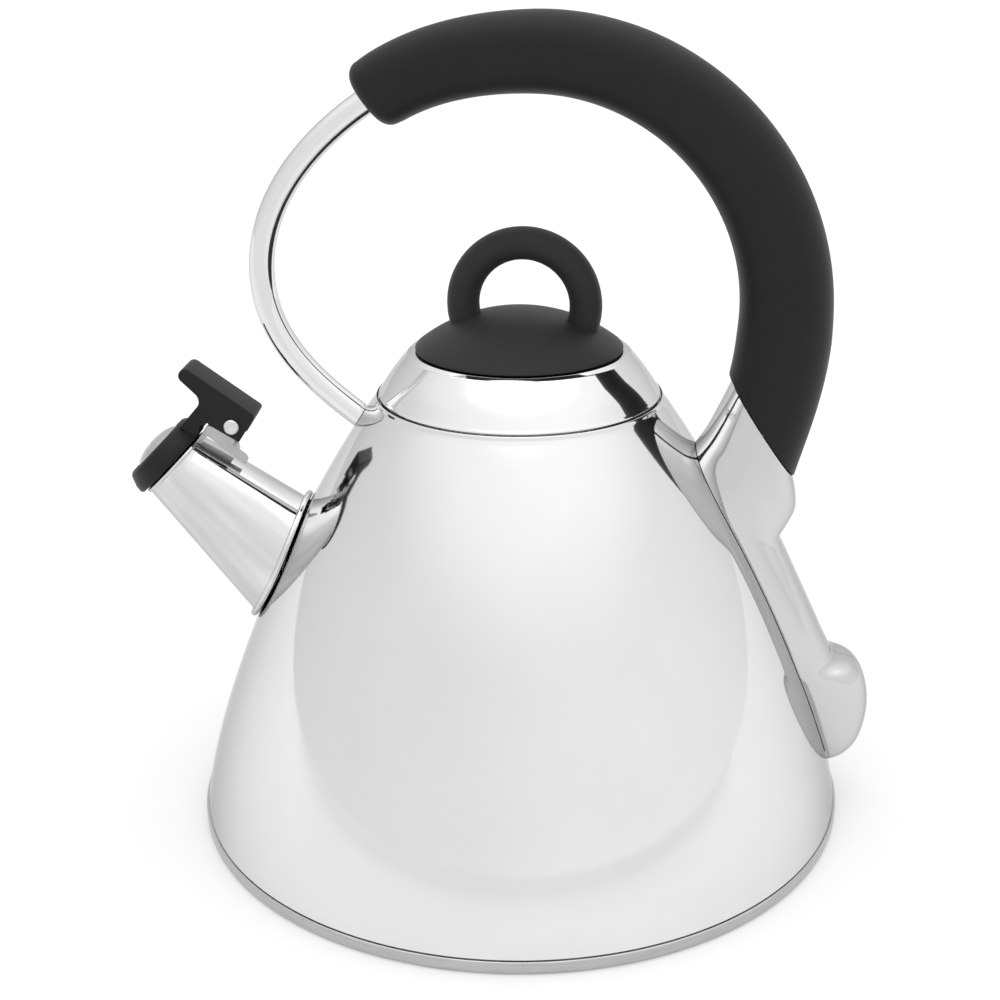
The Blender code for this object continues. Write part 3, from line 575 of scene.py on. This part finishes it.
def make_knob():
    """A hollow dome, part of a sphere, with the lifting loop moulded on top."""
    seat = KNOB_SEAT
    rise = KNOB_TOP - seat - 0.7
    sphere = (KNOB_RADIUS**2 + rise**2) / (2 * rise)
    low = 90 - math.degrees(math.asin(KNOB_RADIUS / sphere))
    centre = (0, KNOB_TOP - sphere)
    dome = arc(centre, sphere, low + 0.6, 89.97, 48)
    edge = [(30.0, seat), (31.8, seat), (32.15, seat + 0.15), (KNOB_RADIUS, seat + 0.45)]
    lining = arc(centre, sphere - KNOB_WALL, 83.5, low + 2.5, 12)
    profile = [(2.35, 160.8), (2.35, seat), (5.0, seat)] + lining + edge + dome
    knob = turned("knob", profile, KNOB_NYLON, steps=160)
    path = arc(LOOP_CENTRE, LOOP_RADIUS, -LOOP_DIP, 180 + LOOP_DIP, 90)
    loop = skin("loop", sweep(path, lambda s: 5.0, lambda s: 5.4, 48), KNOB_NYLON)
    combine(knob, loop, "UNION")
    bevel(knob, 0.5, 3, 30)
    knob.rotation_euler.z = KNOB_TURN
    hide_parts("lid_knob")
    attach(knob, "lid")


# ---------------------------------------------------------------- handle


def grip_path(per_curve):
    """Centre line of the grip, front end to rear end, as three joined Bezier curves."""
    front, crest, side, rear = GRIP_FRONT, GRIP_CREST, GRIP_SIDE, GRIP_REAR
    first = bezier(front, (-31.0, 239.0), (crest[0] - 17, crest[1]), crest, per_curve)
    over = bezier(crest, (crest[0] + 41.7, crest[1]), (side[0], side[1] + 41.7), side, 2 * per_curve)
    last = bezier(side, (side[0], side[1] - 14), (79.0, 142.0), rear, per_curve)
    return first + over[1:] + last[1:]


def make_rod():
    """One bent rod: from the shoulder, round the front, through the grip, into the bracket."""
    side = ROD_SIDE
    low = bezier(ROD_FOOT, (-63.0, 140.3), (side[0], side[1] - 22), side, 48)
    high = bezier(side, (side[0], side[1] + 23), (-61.8, 217.4), GRIP_FRONT, 48)
    path = low + high[1:] + grip_path(24)[1:] + [(73.3, 122.5)]
    rod = skin("rod", sweep(path, lambda s: ROD_RADIUS, lambda s: ROD_RADIUS, 48), ROD_STEEL)
    combine(rod, body_cutter(WALL_GAP), "DIFFERENCE")
    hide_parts("handle_rod")
    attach(rod, "kettle")


def make_grip():
    """A sleeve with a rounded front end and a slanted rear end, bored for the rod."""
    path = grip_path(30)
    rounding = GRIP_ROUNDING

    def half(share):
        return (GRIP_THICK_FRONT + (GRIP_THICK_REAR - GRIP_THICK_FRONT) * min(share * 1.25, 1)) / 2

    rings = sweep(path, half, lambda s: 0.97 * half(s), 72, roundness=2.2)
    centre = Vector((path[0][0], 0, path[0][1]))
    along = Vector((path[1][0] - path[0][0], 0, path[1][1] - path[0][1])).normalized()
    front = []
    for i in range(9):
        angle = math.radians(90 - 10 * i)
        scale = 1 - rounding * (1 - math.cos(angle)) / half(0)
        back = rounding * (1 - math.sin(angle))
        front.append([centre + (p - centre) * scale + along * back for p in rings[0]])
    beyond = Vector((path[-1][0] - path[-2][0], 0, path[-1][1] - path[-2][1])).normalized()
    grip = skin("grip_sleeve", front + rings[4:] + [[p + beyond * 18 for p in rings[-1]]], NYLON)
    inner = Vector((SOCKET_INNER[0], 0, SOCKET_INNER[1]))
    outer = Vector((SOCKET_OUTER[0], 0, SOCKET_OUTER[1]))
    down = (outer - inner).normalized()
    square = Vector((down.z, 0, -down.x))
    corners = [inner - down * 30 - square * 0.3, outer + down * 30 - square * 0.3]
    corners += [corners[1] + square * 50, corners[0] + square * 50]
    combine(grip, plate("slanted_end", [(c.x, c.z) for c in corners], -30, 30), "DIFFERENCE")
    bore_path = [(-57.0, 219.8)] + grip_path(24) + [(71.0, 115.0)]
    bore = ROD_RADIUS + 0.2
    combine(grip, skin("grip_bore", sweep(bore_path, lambda s: bore, lambda s: bore, 32)), "DIFFERENCE")
    bevel(grip, 0.4, 3, 40)
    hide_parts("grip")
    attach(grip, "kettle")


# Lines across the bracket, grip to tip: (inner X, inner Z, outer X, outer Z, half-width)
BRACKET_LINES = [
    # socket
    (*SOCKET_INNER, *SOCKET_OUTER, 14.2),
    (62.6, 136.6, 87.0, 109.5, 14.5),
    (58.8, 128.6, 87.2, 104.0, 14.8),
    (54.0, 119.5, 84.9, 98.6, 15.1),
    # strap
    (56.0, 108.0, 82.9, 94.8, 15.3),
    (62.0, 96.0, 83.8, 91.6, 15.3),
    (70.0, 80.0, 87.3, 84.2, 15.3),
    (78.0, 62.5, 95.3, 67.3, 15.1),
    (81.5, 52.5, 100.2, 57.0, 14.6),
    # hook and tip
    (83.0, 47.5, 102.8, 53.0, 14.2),
    (84.0, 44.0, 109.4, 50.6, 13.8),
    (86.0, 38.5, 113.2, 44.4, 13.3),
    (89.5, 30.0, 114.4, 35.0, 12.2),
    (93.0, 22.5, 112.6, 24.6, 10.2),
    (96.0, 16.5, 109.0, 18.6, 7.1),
    (98.0, 13.0, 105.4, 15.8, 3.5),
]


def bracket_block(name, inset, count=96, per_span=5):
    """The bracket as a solid block, smaller all round by inset."""
    rings = []
    for in_x, in_z, out_x, out_z, wide in spline([Vector(line) for line in BRACKET_LINES], per_span):
        low, high = Vector((in_x, 0, in_z)), Vector((out_x, 0, out_z))
        centre, reach = (low + high) / 2, (high - low) / 2
        reach = reach * max(1 - inset / reach.length, 0.2)
        wide = max(wide - inset, 0.6)
        ring = []
        for k in range(count):
            angle = 2 * math.pi * k / count
            c, s = math.cos(angle), math.sin(angle)
            flat = (abs(c) ** 2.6 + abs(s) ** 2.6) ** (-1 / 2.6)
            ring.append(centre + reach * (flat * c) + Vector((0, wide * flat * s, 0)))
        rings.append(ring)
    if inset:
        up = Vector((3, 0, 6))
        rings.insert(0, [p + up for p in rings[0]])
    return skin(name, rings)


def make_bracket():
    """Two pressed halves that meet on a seam and stand on the body wall."""
    halves = [("bracket_near", "bracket_near_half", -1), ("bracket_far", "bracket_far_half", 1)]
    for name, node, side in halves:
        half = bracket_block(name, 0)
        half.data.materials.append(SHADED_BRACKET_STEEL)
        combine(half, bracket_block("hollow", BRACKET_SHEET), "DIFFERENCE", "MANIFOLD")
        combine(half, body_cutter(WALL_GAP), "DIFFERENCE", "MANIFOLD")
        low, high = sorted((side * 0.08, side * 50))
        around = [(0, 0), (150, 0), (150, 200), (0, 200)]
        combine(half, plate("side", around, low, high), "INTERSECT", "MANIFOLD")
        bevel(half, 0.22, 2, 50)
        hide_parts(node)
        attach(half, "kettle")


# ---------------------------------------------------------------- carried-over CAD nodes


def dress(node, mat):
    """Give a CAD node that has no finer shape its material."""
    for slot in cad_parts[node].material_slots:
        slot.material = mat


def dress_inner_pieces():
    dress("bottom_plate", INSIDE_STEEL)
    dress("heat_core", ALUMINIUM)
    dress("cap_spring", SPRING_STEEL)
    dress("whistle_rear_disc", INSIDE_STEEL)
    dress("lid_skirt", INSIDE_STEEL)
    dress("knob_screw", PIN_STEEL)
    dress("knob_washer", PIN_STEEL)


# ---------------------------------------------------------------- studio


def light_tent(tree):
    """White cloth on all sides: a little darker to the left and behind, and brightest overhead."""
    background = tree.nodes["Background"]
    coords = tree.nodes.new("ShaderNodeTexCoord")
    split = tree.nodes.new("ShaderNodeSeparateXYZ")
    tree.links.new(coords.outputs["Generated"], split.inputs["Vector"])

    def mixed(axis, start, end, low, high, onto=None):
        """A smooth step from low to high along an axis of the view direction, added to what came before."""
        value = tree.nodes.new("ShaderNodeMapRange")
        value.interpolation_type = "SMOOTHSTEP"
        for socket, number in zip(("From Min", "From Max", "To Min", "To Max"), (start, end, low, high)):
            value.inputs[socket].default_value = number
        tree.links.new(split.outputs[axis], value.inputs["Value"])
        if onto is None:
            return value.outputs["Result"]
        total = tree.nodes.new("ShaderNodeMath")
        total.operation = "ADD"
        tree.links.new(onto, total.inputs[0])
        tree.links.new(value.outputs["Result"], total.inputs[1])
        return total.outputs["Value"]

    level = mixed("X", -1.0, 1.0, 0.87, 1.0)
    level = mixed("Y", -1.0, 1.0, 0.06, -0.06, level)
    level = mixed("Z", 0.35, 0.72, 0.0, 0.22, level)
    level = mixed("Z", 0.72, 0.95, 0.0, 0.8, level)
    tree.links.new(level, background.inputs["Strength"])
    background.inputs["Color"].default_value = (1, 1, 1, 1)


def make_studio():
    """Soft light all round, and a pale paper floor that glows with painted light, which falls off a little in
    front.
    """
    scene = bpy.context.scene
    scene.view_settings.view_transform = "Standard"
    world = bpy.data.worlds.new("studio")
    scene.world = world
    world.use_nodes = True
    light_tent(world.node_tree)

    mat, tree, shader = nodes_of("floor_paper_painted_light")
    tree.links.new(tint(tree, noise(tree, 3, 2), (0.66,) * 3, (0.675,) * 3), shader.inputs["Base Color"])
    shader.inputs["Roughness"].default_value = 0.9
    shader.inputs["Specular IOR Level"].default_value = 0.0
    shader.inputs["Emission Color"].default_value = (1, 1, 1, 1)
    coords = tree.nodes.new("ShaderNodeTexCoord")
    split = tree.nodes.new("ShaderNodeSeparateXYZ")
    tree.links.new(coords.outputs["Object"], split.inputs["Vector"])
    # painted light: the floor glows, less far in front of the kettle
    painted_floor_light = spread(tree, split.outputs["Y"], 0.06, 0.2, -0.6, -0.12)
    tree.links.new(painted_floor_light, shader.inputs["Emission Strength"])
    bpy.ops.mesh.primitive_plane_add(size=60.0, location=(0, 0, -0.0002))
    floor = bpy.context.object
    floor.name = "floor"
    floor.data.materials.append(mat)

    camera = bpy.data.cameras.new("camera")
    camera.lens = 58.35
    camera.sensor_width = 36
    camera.shift_x = -0.0199
    camera.clip_start = 0.01
    view = bpy.data.objects.new("camera", camera)
    turn = Matrix.Rotation(math.radians(4.5), 4, "Z") @ Matrix.Rotation(math.radians(90 - 20.92), 4, "X")
    turn = turn @ Matrix.Rotation(math.radians(-0.216), 4, "Z")
    view.matrix_world = Matrix.Translation((0.0381, -0.4841, 0.2888)) @ turn
    bpy.context.collection.objects.link(view)
    scene.camera = view


make_studio()
make_body()
make_base()
make_spout()
make_hinge_clip()
make_hinge_pin()
make_cap()
make_front_disc()
make_lid_cover()
make_knob()
make_rod()
make_grip()
make_bracket()
dress_inner_pieces()
